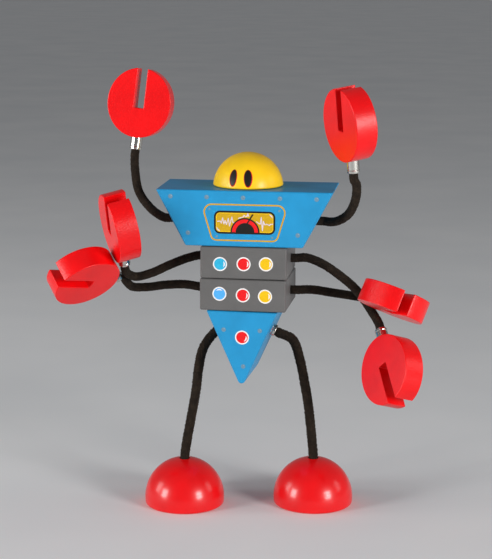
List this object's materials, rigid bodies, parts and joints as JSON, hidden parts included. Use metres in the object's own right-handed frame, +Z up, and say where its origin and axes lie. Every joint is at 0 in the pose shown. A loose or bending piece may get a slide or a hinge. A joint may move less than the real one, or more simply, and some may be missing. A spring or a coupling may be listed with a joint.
{
  "type": "toy robot",
  "caption": "Bendable robot of painted wooden blocks stacked on magnets, with slotted claw discs on cloth-covered wire arms and domed feet.",
  "frame": {"origin": "on the floor, under the middle of the robot's bounding box as it stands", "axes": "+Z up, -Y the way the robot's printed front faces, +X to the right of a viewer in front"},
  "size_m": [0.2112, 0.0916, 0.2471],
  "materials": {
    "blue_paint": "gloss paint",
    "grey_paint": "satin paint",
    "red_paint": "gloss paint",
    "yellow_paint": "gloss paint",
    "cloth": "brushed",
    "wire": "drawn",
    "nickel": "polished",
    "magnet": "plated"
  },
  "bodies": {
    "pelvis": {"pelvis_block": "blue_paint", "pelvis_magnet": "magnet", "left_hip_magnet": "magnet", "right_hip_magnet": "magnet"},
    "lower_belly": {"lower_block": "grey_paint", "lower_block_magnet": "magnet", "right_low_arm_inner_sleeve": "cloth", "right_low_arm_inner_wire": "wire"},
    "upper_belly": {"upper_block": "grey_paint", "upper_block_magnet": "magnet", "right_middle_arm_inner_sleeve": "cloth", "right_middle_arm_inner_wire": "wire"},
    "chest": {"chest_block": "blue_paint", "chest_top_magnet": "magnet", "chest_bottom_magnet": "magnet"},
    "head": {"head_dome": "yellow_paint", "head_magnet": "magnet"},
    "left_top_arm": {"left_top_arm_sleeve": "cloth", "left_top_arm_wire": "wire", "left_top_arm_ferrule": "nickel"},
    "right_top_arm": {"right_top_arm_sleeve": "cloth", "right_top_arm_wire": "wire", "right_top_arm_ferrule": "nickel"},
    "left_middle_arm": {"left_middle_arm_sleeve": "cloth", "left_middle_arm_wire": "wire", "left_middle_arm_ferrule": "nickel"},
    "left_low_arm": {"left_low_arm_sleeve": "cloth", "left_low_arm_wire": "wire", "left_low_arm_ferrule": "nickel"},
    "right_middle_arm": {"right_middle_arm_outer_sleeve": "cloth", "right_middle_arm_outer_wire": "wire", "right_middle_arm_ferrule": "nickel"},
    "right_low_arm": {"right_low_arm_outer_sleeve": "cloth", "right_low_arm_outer_wire": "wire", "right_low_arm_ferrule": "nickel"},
    "left_top_claw": {"left_top_arm_claw": "red_paint", "left_top_arm_claw_magnet": "magnet"},
    "right_top_claw": {"right_top_arm_claw": "red_paint", "right_top_arm_claw_magnet": "magnet"},
    "left_middle_claw": {"left_middle_arm_claw": "red_paint", "left_middle_arm_claw_magnet": "magnet"},
    "right_middle_claw": {"right_middle_arm_claw": "red_paint", "right_middle_arm_claw_magnet": "magnet"},
    "left_low_claw": {"left_low_arm_claw": "red_paint", "left_low_arm_claw_magnet": "magnet"},
    "right_low_claw": {"right_low_arm_claw": "red_paint", "right_low_arm_claw_magnet": "magnet"},
    "left_thigh": {"left_thigh_sleeve": "cloth", "left_thigh_wire": "wire", "left_hip_ferrule": "nickel"},
    "left_shin": {"left_shin_sleeve": "cloth", "left_shin_wire": "wire", "left_foot": "red_paint"},
    "right_thigh": {"right_thigh_sleeve": "cloth", "right_thigh_wire": "wire", "right_hip_ferrule": "nickel"},
    "right_shin": {"right_shin_sleeve": "cloth", "right_shin_wire": "wire", "right_foot": "red_paint"}
  },
  "joints": [
    {"name": "waist_low", "type": "hinge", "parent": "pelvis", "child": "lower_belly", "pos_m": [0.00303, 0.00445, 0.11725], "axis": [0, 0, 1], "continuous": true},
    {"name": "waist_middle", "type": "hinge", "parent": "lower_belly", "child": "upper_belly", "pos_m": [0.00303, 0.00445, 0.13535], "axis": [0, 0, 1], "range_deg": [-2.5, 4]},
    {"name": "waist_top", "type": "hinge", "parent": "upper_belly", "child": "chest", "pos_m": [0.00303, 0.00445, 0.15345], "axis": [0, 0, 1], "range_deg": [-120, 25]},
    {"name": "neck", "type": "hinge", "parent": "chest", "child": "head", "pos_m": [0.00253, 0.00545, 0.1849], "axis": [0, 0, 1], "continuous": true},
    {"name": "left_top_arm_bend", "type": "hinge", "parent": "chest", "child": "left_top_arm", "pos_m": [-0.03786, 0.00445, 0.1656], "axis": [0, -1, 0], "range_deg": [-30, 80]},
    {"name": "left_top_claw_swivel", "type": "hinge", "parent": "left_top_arm", "child": "left_top_claw", "pos_m": [-0.06743, 0.03533, 0.20007], "axis": [0.11, 0.09, 0.9899], "continuous": true},
    {"name": "right_top_arm_bend", "type": "hinge", "parent": "chest", "child": "right_top_arm", "pos_m": [0.04392, 0.00445, 0.1656], "axis": [0, -1, 0], "range_deg": [-80, 27]},
    {"name": "right_top_claw_swivel", "type": "hinge", "parent": "right_top_arm", "child": "right_top_claw", "pos_m": [0.06281, -0.01893, 0.19627], "axis": [-0.0697, -0.1494, 0.9863], "continuous": true},
    {"name": "left_middle_arm_bend", "type": "hinge", "parent": "upper_belly", "child": "left_middle_arm", "pos_m": [-0.02297, 0.00467, 0.1444], "axis": [-0.0087, -1, 0], "range_deg": [-25, 0]},
    {"name": "left_middle_claw_swivel", "type": "hinge", "parent": "left_middle_arm", "child": "left_middle_claw", "pos_m": [-0.06562, -0.00786, 0.14067], "axis": [0.0157, -0.4908, 0.8711], "range_deg": [-4, 3]},
    {"name": "right_middle_arm_elbow", "type": "hinge", "parent": "upper_belly", "child": "right_middle_arm", "pos_m": [0.05383, 0.00207, 0.13616], "axis": [-0.0087, -1, 0], "range_deg": [-20, 2.5]},
    {"name": "right_middle_claw_swivel", "type": "hinge", "parent": "right_middle_arm", "child": "right_middle_claw", "pos_m": [0.07855, -0.00857, 0.10755], "axis": [0.2756, -0.6657, -0.6934], "continuous": true},
    {"name": "left_low_arm_bend", "type": "hinge", "parent": "lower_belly", "child": "left_low_arm", "pos_m": [-0.02296, 0.00513, 0.1263], "axis": [-0.0262, -0.9997, 0], "range_deg": [0, 70]},
    {"name": "left_low_claw_swivel", "type": "hinge", "parent": "left_low_arm", "child": "left_low_claw", "pos_m": [-0.07112, 0.00006, 0.13159], "axis": [-0.5528, -0.8177, 0.1604], "range_deg": [-2, 9]},
    {"name": "right_low_arm_elbow", "type": "hinge", "parent": "lower_belly", "child": "right_low_arm", "pos_m": [0.04841, 0.01299, 0.12354], "axis": [-0.0262, -0.9997, 0], "range_deg": [-2.5, 65]},
    {"name": "right_low_claw_swivel", "type": "hinge", "parent": "right_low_arm", "child": "right_low_claw", "pos_m": [0.07565, 0.00435, 0.12235], "axis": [0.3777, -0.9136, 0.1506], "range_deg": [-35, 75]},
    {"name": "left_hip", "type": "hinge", "parent": "pelvis", "child": "left_thigh", "pos_m": [-0.01277, 0.00527, 0.10211], "axis": [-0.9091, 0.0476, -0.4138], "range_deg": [-60, 60]},
    {"name": "left_knee", "type": "hinge", "parent": "left_thigh", "child": "left_shin", "pos_m": [-0.02708, 0.00226, 0.06436], "axis": [0.9986, -0.0523, 0], "range_deg": [-60, 60]},
    {"name": "right_hip", "type": "hinge", "parent": "pelvis", "child": "right_thigh", "pos_m": [0.01883, 0.00362, 0.10211], "axis": [0.9091, -0.0476, -0.4138], "range_deg": [-60, 60]},
    {"name": "right_knee", "type": "hinge", "parent": "right_thigh", "child": "right_shin", "pos_m": [0.03623, 0.00702, 0.06574], "axis": [0.9986, -0.0523, 0], "range_deg": [-60, 60]}
  ]
}
